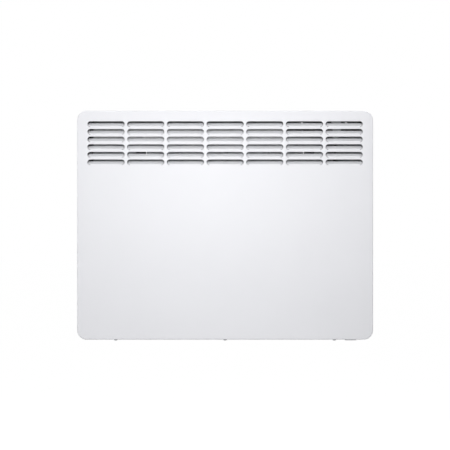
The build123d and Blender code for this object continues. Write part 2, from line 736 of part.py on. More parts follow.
def key_cap(x, y):
    """Push key: a chamfered cap over a flange that stops it under the bezel."""
    cap = post(Pos(x, y) * Rectangle(KEY_SIZE, KEY_SIZE), BEZEL_BASE_Z, TOP_Z + KEY_PROUD)
    cap = chamfer(cap.faces().sort_by(Axis.Z)[-1].edges(), 0.5)
    side = KEY_SIZE + 2 * KEY_FLANGE
    return cap + post(Pos(x, y) * Rectangle(side, side), BEZEL_BASE_Z - KEY_FLANGE_H, BEZEL_BASE_Z)


# ================================================================ rocker switch
def switch_body():
    """Snap-in switch body: a rim under the casing, a well for the rocker, three spades on top."""
    centre = Pos(ROCKER_X, ROCKER_Y)
    rim = post(centre * Rectangle(RIM_W, RIM_L), BASE_Z - RIM_H, BASE_Z)
    rim = chamfer(rim.faces().sort_by(Axis.Z)[0].edges(), 0.6)
    stem = post(centre * Rectangle(SWITCH_BODY_W, SWITCH_BODY_L), BASE_Z, SWITCH_TOP_Z)
    well = centre * Rectangle(ROCKER_W + 2 * FIT_GAP, 2 * ROCKER_HALF_L + 3)
    body = rim + stem - post(well, BASE_Z - RIM_H - 1, BASE_Z + ROCKER_WELL)
    pin_hole = Pos(ROCKER_Y, BASE_Z + ROCKER_PIVOT_H) * Circle(ROCKER_PIN_R + PIN_CLEARANCE)
    hole_half = ROCKER_W / 2 + FIT_GAP + ROCKER_PIN_L
    body -= beam(pin_hole, ROCKER_X - hole_half, ROCKER_X + hole_half)
    spade = Rectangle(SPADE_W, SPADE_T)
    spades = [
        post(Pos(ROCKER_X, ROCKER_Y + y) * spade, SWITCH_TOP_Z, SWITCH_TOP_Z + SWITCH_SPADE_L)
        for y in (-8, 0, 8)
    ]
    return body + spades


def rocker_switch():
    """Two-lobed rocker on its pins, at rest with its front lobe pressed in."""
    drop = ROCKER_RECESS - ROCKER_PIVOT_H - RIM_H
    swing = radians(ROCKER_SWING)
    raised = (ROCKER_HALF_L * cos(swing), drop - ROCKER_HALF_L * sin(swing))
    crown = ThreePointArc((raised[0] + 0.8, -2), (0, 3.6), (-ROCKER_HALF_L, 1))
    sides = Polyline(crown @ 1, (-ROCKER_HALF_L, drop), (0, drop), raised, crown @ 0)
    body = extrude(Plane.YZ * make_face([crown, sides]), ROCKER_W / 2, both=True)
    pins = extrude(Plane.YZ * RegularPolygon(ROCKER_PIN_R, 12), ROCKER_W / 2 + ROCKER_PIN_L, both=True)
    return Pos(ROCKER_X, ROCKER_Y, BASE_Z + ROCKER_PIVOT_H) * (body + pins)


# ================================================================ wall bracket
def hook_profile(top):
    """One hook in Y and Z: an arm through the rear panel and a nose that rises in front of it."""
    arm = span((HOOK_REACH_Y, -UPRIGHT_DEPTH), (top - HOOK_ARM_H, top))
    nose = span((HOOK_REACH_Y, HOOK_NOSE_Y), (top, top + HOOK_NOSE_RISE))
    hook = arm + nose
    back_top = hook.vertices().sort_by(Axis.Y)[-2:].sort_by(Axis.X)[-1]
    return chamfer(back_top, 2)


def bracket_upright(side):
    """Folded angle: its web lies on the wall and its flange carries two hooks."""
    low, high = UPRIGHT_Z
    flange = span((-UPRIGHT_DEPTH, 0), (low, high))
    for top in HOOK_TOPS:
        flange += hook_profile(top)
    flange_x = sorted((side * HOOK_X, side * (HOOK_X + BRACKET_T)))
    web_x = sorted((side * HOOK_X, side * (HOOK_X + UPRIGHT_W)))
    return beam(flange, *flange_x) + block(web_x, (-BRACKET_T, 0), (low, high))


def bracket_crossbar(z):
    """Shallow channel between the uprights, with a wall-screw hole near each end."""
    low, high = z - CROSSBAR_H / 2, z + CROSSBAR_H / 2
    outer = span((-CROSSBAR_LIP, 0), (low, high))
    hollow = span((-CROSSBAR_LIP, -BRACKET_T), (low + BRACKET_T, high - BRACKET_T))
    bar = beam(outer - hollow, -HOOK_X, HOOK_X)
    for x in (-WALL_HOLE_X, WALL_HOLE_X):
        bar -= plate(Pos(x, z) * Circle(WALL_HOLE_R), -2 * BRACKET_T, 1)
    return bar


# ================================================================ fasteners
def casing_screws():
    """Three pan-head screws that hold the casing to the rear panel's ears."""
    screw = pan_screw(SCREW_HEAD_R, SCREW_HEAD_H, SCREW_SHANK_R, 8)
    return Compound([Pos(x, SCREW_Y, BASE_Z) * screw for x in SCREW_X])


def hex_screws():
    """Sheet-metal screws that hold the inner sheets to the rear panel."""
    screws = []
    for x, z in HEX_PLACES:
        head = plate(hexagon(x, z, HEX_R), REAR_Y, REAR_Y + HEX_H)
        screws.append(head + plate(hexagon(x, z, HEX_SHANK_R), REAR_Y - HEX_SHANK_L, REAR_Y))
    return Compound(screws)


# ================================================================ assembly
def main():
    nodes = {
        "front_casing": front_casing(),
        "casing_screws": casing_screws(),
        "rear_panel": rear_panel(),
        "hex_screws": hex_screws(),
        "rear_heat_shield": rear_heat_shield(),
        "end_plate": end_plate(),
        "side_partition": side_partition(),
        "air_baffle": air_baffle(),
        "air_guide": air_guide(),
        "element_body": element_body(),
        "element_rod": element_rod(),
        "ceramic_bushes": ceramic_bushes(),
        "overheat_limiter": overheat_limiter(),
        "terminal_block": terminal_block(),
        "earth_stud": earth_stud(),
        "cable_bushing": cable_bushing(),
        "supply_loom": supply_loom(),
        "switch_loom": switch_loom(),
        "element_leads": element_leads(),
        "sensor_holder": sensor_holder(),
        "room_sensor": room_sensor(),
        "sensor_lead": sensor_lead(),
        "control_housing": control_housing(),
        "housing_clips": housing_clips(),
        "control_connector": control_connector(),
        "control_board": control_board(),
        "relay": on_board((126, 142), (-74, -56), 12),
        "power_supply": on_board((205, 236), (-50, -42), 10),
        "board_capacitor": board_capacitor(),
        "display": display(),
        "key_switches": key_switches(),
        "control_bezel": control_bezel(),
        "display_window": display_window(),
        "switch_body": switch_body(),
        "rocker_switch": rocker_switch(),
        "bracket_upright_left": bracket_upright(-1),
        "bracket_upright_right": bracket_upright(1),
        "bracket_crossbar_upper": bracket_crossbar(CROSSBAR_Z[0]),
        "bracket_crossbar_lower": bracket_crossbar(CROSSBAR_Z[1]),
    }
    for name, place in KEYS.items():
        nodes[name] = key_cap(*place)
    os.makedirs("parts", exist_ok=True)
    for name, solid in nodes.items():
        export_step(solid, f"parts/{name}.step")


main()
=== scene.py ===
# %% [markdown]
# # A wall panel convector heater
# The real heater is a folded steel hood, powder coated white, that hangs on a wall bracket. Air enters
# through slots in its underside, rises past a finned element and leaves through forty-two louvres.
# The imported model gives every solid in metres. This script keeps those solids where their shape is
# right, gives them finishes, and works out finer surfaces for the pieces whose curves matter most.

# %% Load the frame
import bpy
import bmesh
import json
import numpy as np
from math import cos, pi, radians, sin, tan
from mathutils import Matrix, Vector


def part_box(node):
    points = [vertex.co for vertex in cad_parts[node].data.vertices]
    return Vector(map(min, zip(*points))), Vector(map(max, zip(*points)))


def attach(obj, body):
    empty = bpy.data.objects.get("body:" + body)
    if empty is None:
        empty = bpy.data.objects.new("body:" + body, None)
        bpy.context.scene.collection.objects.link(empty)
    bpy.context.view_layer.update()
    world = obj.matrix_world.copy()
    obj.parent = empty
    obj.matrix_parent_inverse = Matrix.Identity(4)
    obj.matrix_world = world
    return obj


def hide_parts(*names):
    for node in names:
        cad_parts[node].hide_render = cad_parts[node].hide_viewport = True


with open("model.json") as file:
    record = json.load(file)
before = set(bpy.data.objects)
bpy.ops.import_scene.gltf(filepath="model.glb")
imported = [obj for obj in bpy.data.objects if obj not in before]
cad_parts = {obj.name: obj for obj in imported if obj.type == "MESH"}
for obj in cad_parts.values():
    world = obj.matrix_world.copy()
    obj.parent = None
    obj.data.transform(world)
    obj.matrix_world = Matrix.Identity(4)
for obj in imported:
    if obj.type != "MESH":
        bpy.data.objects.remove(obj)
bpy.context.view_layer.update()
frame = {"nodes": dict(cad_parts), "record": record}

MM = 0.001

# %% [markdown]
# ## From arrays to a mesh
# Every new piece is one or more grids of points, worked out as whole arrays, because numpy handles
# thousands of points in one step. A grid becomes quads by joining each point to its neighbours in the
# next row and column. The helpers below do that, put several grids into one mesh, merge the points
# where they meet and turn all faces outwards.

# %% Grid helpers
MERGE = 0.002 * MM


def grid(points, wrap=False):
    """Quads over a rows x columns x 3 array; with wrap, the last column joins the first."""
    rows, cols = points.shape[:2]
    index = np.arange(rows * cols).reshape(rows, cols)
    if wrap:
        index = np.concatenate([index, index[:, :1]], axis=1)
    quads = np.stack([index[:-1, :-1], index[:-1, 1:], index[1:, 1:], index[1:, :-1]], axis=-1)
    return points.reshape(-1, 3), quads.reshape(-1, 4)


def joined(parts):
    """Several (points, quads) parts as one pair of arrays."""
    starts = np.cumsum([0] + [len(points) for points, quads in parts[:-1]])
    all_points = np.concatenate([points for points, quads in parts])
    all_quads = np.concatenate([quads + start for (points, quads), start in zip(parts, starts)])
    return all_points, all_quads


def placed(name, data):
    """New object in the scene for a mesh, a lamp or a camera."""
    thing = bpy.data.objects.new(name, data)
    bpy.context.scene.collection.objects.link(thing)
    return thing


def smoothed(mesh, sharp):
    """Smooth shading, apart from edges above an angle in degrees."""
    mesh.shade_smooth()
    mesh.set_sharp_from_angle(angle=radians(sharp))


def piece(name, parts, sharp=35.0):
    """A mesh object at the origin: its doubles merged, its faces outwards, smooth below the sharp angle."""
    points, quads = joined(parts)
    mesh = bpy.data.meshes.new(name)
    mesh.from_pydata(points.tolist(), [], quads.tolist())
    shaped = bmesh.new()
    shaped.from_mesh(mesh)
    bmesh.ops.remove_doubles(shaped, verts=shaped.verts, dist=MERGE)
    bmesh.ops.dissolve_degenerate(shaped, edges=shaped.edges, dist=MERGE)
    bmesh.ops.recalc_face_normals(shaped, faces=shaped.faces)
    open_edges = sum(1 for edge in shaped.edges if not edge.is_manifold)
    shaped.to_mesh(mesh)
    shaped.free()
    smoothed(mesh, sharp)
    print(name, "faces", len(mesh.polygons), "open edges", open_edges)
    return placed(name, mesh)

# %% [markdown]
# ## The hood's sizes
# The hood is a box with round corners, 19 mm in radius, whose front edge is rolled over 2.5 mm. Its
# outer size comes from the frame, so that the new surface stays where the solid is. The louvres stand
# in seven columns, 78 mm apart, and six rows, 15 mm apart.

# %% Hood sizes
hood_low, hood_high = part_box("front_casing")
HALF_W = (hood_high.x - hood_low.x) / 2
HALF_H = (hood_high.z - hood_low.z) / 2
FRONT, BACK = hood_low.y, hood_high.y
SHEET = 1 * MM
CORNER_R = 19 * MM
EDGE_R = 2.5 * MM
COLS, ROWS = 7, 6
COL_PITCH, ROW_PITCH = 78 * MM, 15 * MM
SLOT_W, SLOT_H = 72.8 * MM, 11 * MM
FIRST_SLOT_TOP = HALF_H - 20.8 * MM
END_R = SLOT_H / 2
STRAIGHT = SLOT_W / 2 - END_R  # half the length of a slot's straight edges
print("hood", round(2 * HALF_W, 4), round(2 * HALF_H, 4), "louvres", COLS * ROWS)

# %% [markdown]
# ## One cell of the louvred field
# A flat sheet with holes isn't a grid, but a ring is: its inner loop is the slot's outline, its outer
# loop the cell's rectangle, and both have the same number of points. Equal cells share their border
# points, so forty-two of them merge into one sheet without a seam. The slot's punched edge is broken
# by a quarter round of 0.25 mm, which fades to nothing at the bend line. There the slot's wall stays
# open, because the sheet runs on into the flap.

# %% Slot and cell outlines
ALONG = 6  # steps along the slot's straight edges
ROUND = 16  # steps round each of its ends
MARGIN = (ROW_PITCH - SLOT_H) / 2
BREAK_R = 0.25 * MM


def slot_loop(grow):
    """Slot outline grown by an amount per point: straight, half circle, straight, half circle."""
    t = np.linspace(0, 1, ALONG, endpoint=False)
    turn = np.linspace(-pi / 2, pi / 2, ROUND, endpoint=False)
    x = np.concatenate([
        -STRAIGHT + 2 * STRAIGHT * t,
        STRAIGHT + END_R * np.cos(turn),
        STRAIGHT - 2 * STRAIGHT * t,
        -STRAIGHT - END_R * np.cos(turn),
    ])
    z = np.concatenate([0 * t, END_R + END_R * np.sin(turn), 0 * t + SLOT_H, END_R - END_R * np.sin(turn)])
    out_x = x - np.clip(x, -STRAIGHT, STRAIGHT)
    out_z = z - END_R
    length = np.hypot(out_x, out_z)
    return x + grow * out_x / length, z + grow * out_z / length


def cell_loop():
    """The cell's rectangle, with a point for each point of the slot and one at every corner."""
    side = ROUND // 4
    t = np.linspace(0, 1, ALONG, endpoint=False)
    out = np.linspace(0, 1, side, endpoint=False)
    up = np.linspace(0, 1, 2 * side, endpoint=False)
    flank = COL_PITCH / 2 - STRAIGHT
    bottom, top = -MARGIN, SLOT_H + MARGIN
    right_x = np.concatenate([STRAIGHT + flank * out, 0 * up + COL_PITCH / 2, COL_PITCH / 2 - flank * out])
    right_z = np.concatenate([0 * out + bottom, bottom + (top - bottom) * up, 0 * out + top])
    x = np.concatenate([-STRAIGHT + 2 * STRAIGHT * t, right_x, STRAIGHT - 2 * STRAIGHT * t, -right_x])
    z = np.concatenate([0 * t + bottom, right_z, 0 * t + top, SLOT_H - right_z])
    return x, z


def in_plane(x, z, y):
    """Points of a loop in X and Z, at one depth or at a depth for each point."""
    return np.stack([x, np.broadcast_to(y, np.shape(x)), z], axis=-1)


rise = np.abs(slot_loop(0)[1]) / END_R
break_r = BREAK_R * np.clip(rise, 0, 1)
print("points round a slot", len(rise))

# %% The cell's surfaces
BREAK_STEPS = 4
cell_rows = [in_plane(*cell_loop(), FRONT)]
for turn in np.linspace(0, pi / 2, BREAK_STEPS):
    cell_rows.append(in_plane(*slot_loop(break_r * (1 - sin(turn))), FRONT + break_r * (1 - cos(turn))))
cell_rows.append(in_plane(*slot_loop(0 * rise), FRONT + SHEET))
cell_rows.append(in_plane(*cell_loop(), FRONT + SHEET))
cell_points, cell_quads = grid(np.stack(cell_rows), wrap=True)

bend_start = BREAK_STEPS * len(rise)  # the slot's wall begins with its quads along the bend line
cell_quads = np.delete(cell_quads, np.arange(bend_start, bend_start + ALONG), axis=0)
print("cell quads", len(cell_quads))

# %% [markdown]
# ## The flap
# Each louvre is lanced: the sheet is cut along the slot's ends and top and pushed in about its lower
# edge. In section it leans in on a wide arc, bends on a tight one and then runs straight, which is why
# the eye sees a light strip below and an even grey band above. Across, its half width follows the
# round cut, so its outline narrows towards the tip. The outer skin is the function of those two, and
# the inner skin is one sheet thickness along its normal. A Solidify modifier could thicken one skin,
# but both are worked out, because along the bend line the outer one has to meet the front of the
# hood's sheet, and the inner one its back.

# %% Flap surfaces
WIDE_R, TIGHT_R = 9 * MM, 1.5 * MM
WIDE_STEPS, TIGHT_STEPS, RUN_STEPS = 5, 8, 9
LEAN, FLAP_TURN = radians(10), radians(54)
FLAP_TOP = 7.5 * MM
KERF = 0.8 * MM
BELLY = 0.26  # where the flap is widest, below the slot's axis, as a share of the cut's radius
TIP_ROUND = 0.5 * MM  # how far above the tip its rounded ends would close


def flap_section():
    """Heights, depths and turns up the flap: an arc, a tighter arc tangent to it, and its tangent."""
    wide = np.linspace(0, LEAN, WIDE_STEPS)
    tight = np.linspace(LEAN, FLAP_TURN, TIGHT_STEPS)[1:]
    z = np.concatenate([WIDE_R * np.sin(wide), (WIDE_R - TIGHT_R) * sin(LEAN) + TIGHT_R * np.sin(tight)])
    y = np.concatenate([
        WIDE_R * (1 - np.cos(wide)), WIDE_R - (WIDE_R - TIGHT_R) * cos(LEAN) - TIGHT_R * np.cos(tight),
    ])
    run_z = np.linspace(z[-1], FLAP_TOP, RUN_STEPS)[1:]
    run_y = y[-1] + (run_z - z[-1]) * tan(FLAP_TURN)
    turn = np.concatenate([wide, tight, 0 * run_z + FLAP_TURN])
    return np.concatenate([z, run_z]), np.concatenate([y, run_y]), turn


def flap_skin(depth):
    """Flap surface at a depth in the sheet: its section, times the half width that the cut leaves."""
    z, y, turn = flap_section()
    cut_r = END_R - KERF
    belly = END_R - cut_r * BELLY
    lower = np.sqrt(np.maximum(cut_r**2 - (z - END_R) ** 2, 0))
    widest = np.sqrt(cut_r**2 - (belly - END_R) ** 2)
    upper = widest * np.sqrt(np.maximum(1 - ((z - belly) / (FLAP_TOP - belly + TIP_ROUND)) ** 2, 0))
    half = STRAIGHT + np.where(z < belly, lower, upper) * np.clip(z / KERF, 0, 1)
    across = np.linspace(-1, 1, ALONG + 1)
    x = half[:, None] * across[None, :]
    y = (FRONT + y + depth * np.cos(turn))[:, None] + 0 * x
    z = (z - depth * np.sin(turn))[:, None] + 0 * x
    return np.stack([x, y, z], axis=-1)


outer, inner = flap_skin(0), flap_skin(SHEET)
tip = np.stack([outer[-1], inner[-1]])
left = np.stack([outer[:, 0], inner[:, 0]])
right = np.stack([outer[:, -1], inner[:, -1]])
flap_points, flap_quads = joined([grid(part) for part in (outer, inner, tip, left, right)])
print("flap reach into the hood", round(float(outer[-1, 0, 1] - FRONT), 5))

# %% [markdown]
# ## The whole hood
# The field of cells has its own border loop. Around it, every row of the hood is a rounded rectangle
# with as many points: over the rolled front edge, back along the walls, round the sheet's rear edge
# and forward again on the inside. One list of insets and depths gives all of these rows. A Bevel
# modifier could roll the front edge, but it would round the edges of the louvres as well.

# %% Border of the field and outline of the hood
CORNER_STEPS = 12
CELL_DECIMALS, FIELD_DECIMALS = 7, 6  # of a metre, at which two places count as one
flank_x, flank_z = (np.unique(np.round(side, CELL_DECIMALS)) for side in cell_loop())
col_x = (np.arange(COLS) - (COLS - 1) / 2) * COL_PITCH
row_z = FIRST_SLOT_TOP - SLOT_H - np.arange(ROWS) * ROW_PITCH
field_x = np.unique(np.round((col_x[:, None] + flank_x[None, :]).ravel(), FIELD_DECIMALS))
field_z = np.unique(np.round((row_z[:, None] + flank_z[None, :]).ravel(), FIELD_DECIMALS))
print("field border", len(field_x), "x", len(field_z))


def field_border():
    """The louvred field's border, anticlockwise from its lower left corner."""
    along, up = 0 * field_x[:-1], 0 * field_z[:-1]
    x = np.concatenate([field_x[:-1], up + field_x[-1], field_x[:0:-1], up + field_x[0]])
    z = np.concatenate([along + field_z[0], field_z[:-1], along + field_z[-1], field_z[:0:-1]])
    return x, z


def hood_loop(inset):
    """Rounded rectangle inside the hood's outline: straight, corner, side, corner, and round again."""
    reach_x, reach_z = HALF_W - CORNER_R, HALF_H - CORNER_R
    radius = CORNER_R - inset
    share = (field_x[:-1] - field_x[0]) / (field_x[-1] - field_x[0])
    turn = np.linspace(-pi / 2, 0, CORNER_STEPS, endpoint=False)
    up = np.linspace(0, 1, len(field_z) - 1 - 2 * CORNER_STEPS, endpoint=False)
    right_x = np.concatenate([
        reach_x + radius * np.cos(turn),
        0 * up + reach_x + radius,
        reach_x + radius * np.cos(turn + pi / 2),
    ])
    right_z = np.concatenate([
        -reach_z + radius * np.sin(turn),
        -reach_z + 2 * reach_z * up,
        reach_z + radius * np.sin(turn + pi / 2),
    ])
    bottom_x = -reach_x + 2 * reach_x * share
    bottom_z = 0 * share - reach_z - radius
    x = np.concatenate([bottom_x, right_x, -bottom_x, -right_x])
    z = np.concatenate([bottom_z, right_z, -bottom_z, -right_z])
    return x, z

# %% Hood skin
ROLL_STEPS = 9
HOOD_SHARP = 40
roll = np.linspace(0, pi / 2, ROLL_STEPS)
inner_r = EDGE_R - SHEET
outside = [(EDGE_R * (1 - sin(t)), FRONT + EDGE_R * (1 - cos(t))) for t in roll]
inside = [(SHEET + inner_r * (1 - sin(t)), FRONT + SHEET + inner_r * (1 - cos(t))) for t in roll[::-1]]
skin_rows = [in_plane(*field_border(), FRONT)]
skin_rows += [in_plane(*hood_loop(inset), y) for inset, y in outside + [(0, BACK), (SHEET, BACK)] + inside]
skin_rows.append(in_plane(*field_border(), FRONT + SHEET))
hood_parts = [grid(np.stack(skin_rows), wrap=True)]
for x in col_x:
    for z in row_z:
        hood_parts.append((cell_points + [x, 0, z], cell_quads))
        hood_parts.append((flap_points + [x, 0, z], flap_quads))
hood = piece("hood", hood_parts, sharp=HOOD_SHARP)

# %% [markdown]
# ## Openings in the top and bottom walls
# The bottom wall has twelve inlet slots, three screw holes and the switch's cut-out, and the top wall
# has the control panel's. They are few and of different shapes, so here a Boolean difference is
# simpler than a ring of points for each: one mesh of closed prisms is taken out of the hood.

# %% Prisms
SLOT_END_STEPS = 10


def prism(x, y, bottom, top):
    """Closed prism over a loop: its middle, the loop below, the loop above and its middle again."""
    middle = np.stack([0 * x + x.mean(), 0 * y + y.mean()], axis=-1)
    loop = np.stack([x, y], axis=-1)
    rows = [(middle, bottom), (loop, bottom), (loop, top), (middle, top)]
    points = [np.concatenate([xy, np.full((len(x), 1), z)], axis=1) for xy, z in rows]
    return grid(np.stack(points), wrap=True)


def round_slot(x, y, width, depth):
    """Loop of a slot with half-circle ends, or of a circle where width and depth are equal."""
    radius = min(width, depth) / 2
    turn = np.linspace(-pi / 2, pi / 2, SLOT_END_STEPS + 1)
    reach = width / 2 - radius
    return (
        np.concatenate([x + reach + radius * np.cos(turn), x - reach - radius * np.cos(turn)]),
        np.concatenate([y + radius * np.sin(turn), y - radius * np.sin(turn)]),
    )


def square_loop(x, y, width, depth):
    """Loop of a rectangle about its middle."""
    return (
        x + width / 2 * np.array([-1, 1, 1, -1]),
        y + depth / 2 * np.array([-1, -1, 1, 1]),
    )

# %% Places and sizes of the openings
INLET_X = (-156 * MM, -78 * MM, 78 * MM, 156 * MM)
INLET_Y = (-43 * MM, -54 * MM, -65 * MM)
INLET_W, INLET_D = 72 * MM, 6 * MM
SCREW_X = (-216 * MM, 0, 216 * MM)
SCREW_Y = -72 * MM
SCREW_HOLE = 4.6 * MM
SWITCH_X, SWITCH_Y = 247 * MM, -73 * MM
SWITCH_W, SWITCH_D = 20.6 * MM, 27.6 * MM
PANEL_X, PANEL_Y = 194.5 * MM, -64 * MM
PANEL_W, PANEL_D = 100 * MM, 44 * MM

loops = [round_slot(x, y, INLET_W, INLET_D) for x in INLET_X for y in INLET_Y]
loops += [round_slot(x, SCREW_Y, SCREW_HOLE, SCREW_HOLE) for x in SCREW_X]
loops.append(square_loop(SWITCH_X, SWITCH_Y, SWITCH_W, SWITCH_D))
cutters = [prism(*loop, -HALF_H - 2 * SHEET, -HALF_H + 3 * SHEET) for loop in loops]
panel_loop = square_loop(PANEL_X, PANEL_Y, PANEL_W, PANEL_D)
cutters.append(prism(*panel_loop, HALF_H - 3 * SHEET, HALF_H + SHEET))
cutter = piece("cutter", cutters)

# %% The cut
def applied(thing):
    """Works a piece's modifiers into its mesh."""
    view = bpy.context.evaluated_depsgraph_get()
    thing.data = bpy.data.meshes.new_from_object(thing.evaluated_get(view))
    thing.modifiers.clear()


cut = hood.modifiers.new("openings", "BOOLEAN")
cut.operation = "DIFFERENCE"
cut.solver = "EXACT"
cut.object = cutter
applied(hood)
smoothed(hood.data, HOOD_SHARP)
bpy.data.objects.remove(cutter)
print("hood with openings", len(hood.data.polygons), "faces")

# %% [markdown]
# ## Softened copies
# A solid from the pack has knife edges, and a real edge is always a little round and catches light.
# For the pieces that show, a copy of the solid is merged, its flat faces are joined, and a Bevel
# modifier rounds every edge above thirty degrees. Its hardened normals keep the flats beside a round
# looking flat, which matters most in the clear window. The copy then stands for the solid.

# %% Softening
FLAT = radians(0.5)  # faces that differ by less are one flat
CREASE = 30
SLOTS = {part["node"]: part["material_slot"] for part in frame["record"]["subparts"]}
print("material slots", len(set(SLOTS.values())))


def stands_for(thing, node, body="heater"):
    """The piece rides on a body in the place of a solid, which is hidden."""
    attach(thing, body)
    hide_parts(node)
    return thing


def softened(node, width, steps=2, body="heater"):
    """Copy of a solid with every edge above the crease angle rounded to a width, and its flats kept."""
    mesh = frame["nodes"][node].data.copy()
    mesh.name = node + "_soft"
    shaped = bmesh.new()
    shaped.from_mesh(mesh)
    bmesh.ops.remove_doubles(shaped, verts=shaped.verts, dist=MERGE)
    bmesh.ops.dissolve_limit(shaped, angle_limit=FLAT, verts=shaped.verts, edges=shaped.edges)
    bmesh.ops.recalc_face_normals(shaped, faces=shaped.faces)
    shaped.to_mesh(mesh)
    shaped.free()
    smoothed(mesh, CREASE)
    thing = placed(node + "_soft", mesh)
    bevel = thing.modifiers.new("soft edges", "BEVEL")
    bevel.width = width
    bevel.segments = steps
    bevel.limit_method = "ANGLE"
    bevel.angle_limit = radians(CREASE)
    bevel.harden_normals = True
    applied(thing)
    return stands_for(thing, node, body)

# %% The softened pieces
soft = {
    "front_casing": stands_for(hood, "front_casing"),
    "control_bezel": softened("control_bezel", 0.4 * MM),
    "display_window": softened("display_window", 0.3 * MM),
    "switch_body": softened("switch_body", 0.35 * MM),
    "cable_bushing": softened("cable_bushing", 0.5 * MM),
    "control_housing": softened("control_housing", 0.5 * MM),
    "control_connector": softened("control_connector", 0.4 * MM),
    "terminal_block": softened("terminal_block", 0.4 * MM),
    "rocker_switch": softened("rocker_switch", 0.5 * MM, steps=3, body="rocker"),
}
BRACKET = (
    "bracket_upright_left", "bracket_upright_right", "bracket_crossbar_upper", "bracket_crossbar_lower",
)
KEYS = ("key_menu", "key_plus", "key_ok", "key_minus")
for node in BRACKET:
    soft[node] = softened(node, 0.4 * MM, body="wall_bracket")
for node in KEYS:
    soft[node] = softened(node, 0.5 * MM, steps=3, body=node + "_cap")
print("softened", len(soft))

# %% [markdown]
# ## Screws
# Three pan-head screws hold the hood from below, and eleven hexagon-head screws hold the inner sheets to
# the rear panel. Both are profiles turned round an axis. The cross recess is taken off the dome's height
# where a point lies in one of its two arms, and the hexagon caps the radius of the head's rows, so
# neither screw needs a Boolean.

# %% Pan-head screws
HEAD_R, HEAD_H, RIM_H = 3.65 * MM, 2.8 * MM, 1.5 * MM
SHANK_R, SHANK_L, TIP_H = 1.9 * MM, 8 * MM, 0.7 * MM
RECESS_DEEP, RECESS_REACH = 1.5 * MM, 2.2 * MM
ARM_HALF, ARM_FLANK = 0.42 * MM, 0.16 * MM
POINT_R = 0.6 * SHANK_R  # radius of the flat at the shank's point
BEARING_R = 0.95 * HEAD_R
DOME_STEPS, HEAD_STEPS = 26, 96


def turned(radius, steps):
    """Rows of the two coordinates across the axis, with one column for each step of the full turn."""
    turn = np.linspace(0, 2 * pi, steps, endpoint=False)
    return radius[:, None] * np.cos(turn), radius[:, None] * np.sin(turn)


def arm(along, across):
    """Arm of a cross recess: full in the middle, nothing at its end and past its steep flanks."""
    flank = np.clip((ARM_HALF - np.abs(across)) / ARM_FLANK + 1, 0, 1)
    return flank * np.sqrt(np.clip(1 - np.abs(along) / RECESS_REACH, 0, 1))


def pan_screw(x, y, z):
    """Screw with its head down: pointed shank, flat bearing face, straight rim and an elliptic dome."""
    dome = np.linspace(0, pi / 2, DOME_STEPS)
    radius = np.concatenate([[0, POINT_R, SHANK_R, SHANK_R, BEARING_R], HEAD_R * np.cos(dome)])
    below = np.concatenate([
        [-SHANK_L, -SHANK_L, TIP_H - SHANK_L, 0, 0], RIM_H + (HEAD_H - RIM_H) * np.sin(dome),
    ])
    px, py = turned(radius, HEAD_STEPS)
    pressed = RECESS_DEEP * np.maximum(arm(px, py), arm(py, px)) * (below > RIM_H)[:, None]
    return grid(np.stack([x + px, y + py, z - below[:, None] + pressed], axis=-1), wrap=True)


screws = piece("casing_screw_heads", [pan_screw(x, SCREW_Y, -HALF_H) for x in SCREW_X], sharp=30)
soft["casing_screws"] = stands_for(screws, "casing_screws")

# %% Hexagon-head screws
HEX_FLAT, HEX_H, HEX_STEPS = 3.5 * MM, 2.5 * MM, 48
FLANGE_R, FLANGE_H = 4.6 * MM, 0.5 * MM
HEX_SHANK_R, HEX_SHANK_L, HEX_TIP_H = 1.5 * MM, 6 * MM, 1 * MM
SIDE_SCREWS = [(-269, -180), (-269, 100), (-269, 200), (205.5, -180), (205.5, 170)]
SHIELD_SCREWS = [(x, z) for x in (-254, 188) for z in (-160, 80)]
GUIDE_SCREWS = [(-220, 166), (45, 166)]


def hex_screw(x, z):
    """Head towards the wall: a point, a shank, a thin flange, and a hexagon chamfered by a cone.

    Each list gives one radius or one height per row, from the point to the middle of the head.
    """
    turn = np.linspace(0, 2 * pi, HEX_STEPS, endpoint=False)
    hexagon = HEX_FLAT / np.cos((turn + pi / 6) % (pi / 3) - pi / 6)
    shank = np.array([0, 0.5, 1, 1]) * HEX_SHANK_R
    flange = np.array([1, 1, 0.94, 0.9]) * FLANGE_R
    head = np.array([1.2, 1.2, 1.06, 0.55, 0.45, 0]) * HEX_FLAT
    below_head = np.concatenate([shank, flange])[:, None] + 0 * turn
    radius = np.concatenate([below_head, np.minimum(head[:, None] + 0 * turn, hexagon)])
    shank_out = [-HEX_SHANK_L, -HEX_SHANK_L, HEX_TIP_H - HEX_SHANK_L, 0]
    flange_out = [0, 0.6 * FLANGE_H, FLANGE_H, FLANGE_H]
    head_out = [FLANGE_H, 0.85 * HEX_H, HEX_H, HEX_H, 0.9 * HEX_H, 0.9 * HEX_H]
    out = np.array(shank_out + flange_out + head_out)[:, None]
    px, pz = radius * np.cos(turn), radius * np.sin(turn)
    return grid(np.stack([x + px, BACK + out + 0 * px, z + pz], axis=-1), wrap=True)


hex_heads = [hex_screw(x * MM, z * MM) for x, z in SIDE_SCREWS + SHIELD_SCREWS + GUIDE_SCREWS]
hexes = piece("hex_screw_heads", hex_heads, sharp=25)
soft["hex_screws"] = stands_for(hexes, "hex_screws")

# %% [markdown]
# ## Printed signs
# The keys carry plain signs: three bars, a plus, a ring and a minus, and the rocker a bar and a ring.
# An image could draw them, but a shape stays sharp however close the camera comes. A print is a few
# hundredths of a millimetre thick, so each sign is a very low shape that stands just proud of its key
# and rides with it. The loops of a bar and of the plus are star-shaped, so a fan from the middle closes
# them, and the ring is a grid that needs no closing.

# %% Shapes of the signs
INK = 0.04 * MM
SIGN_REACH, SIGN_HALF = 2.2 * MM, 0.32 * MM
MENU_STEP = 1.5 * MM
RING_STEPS = 40


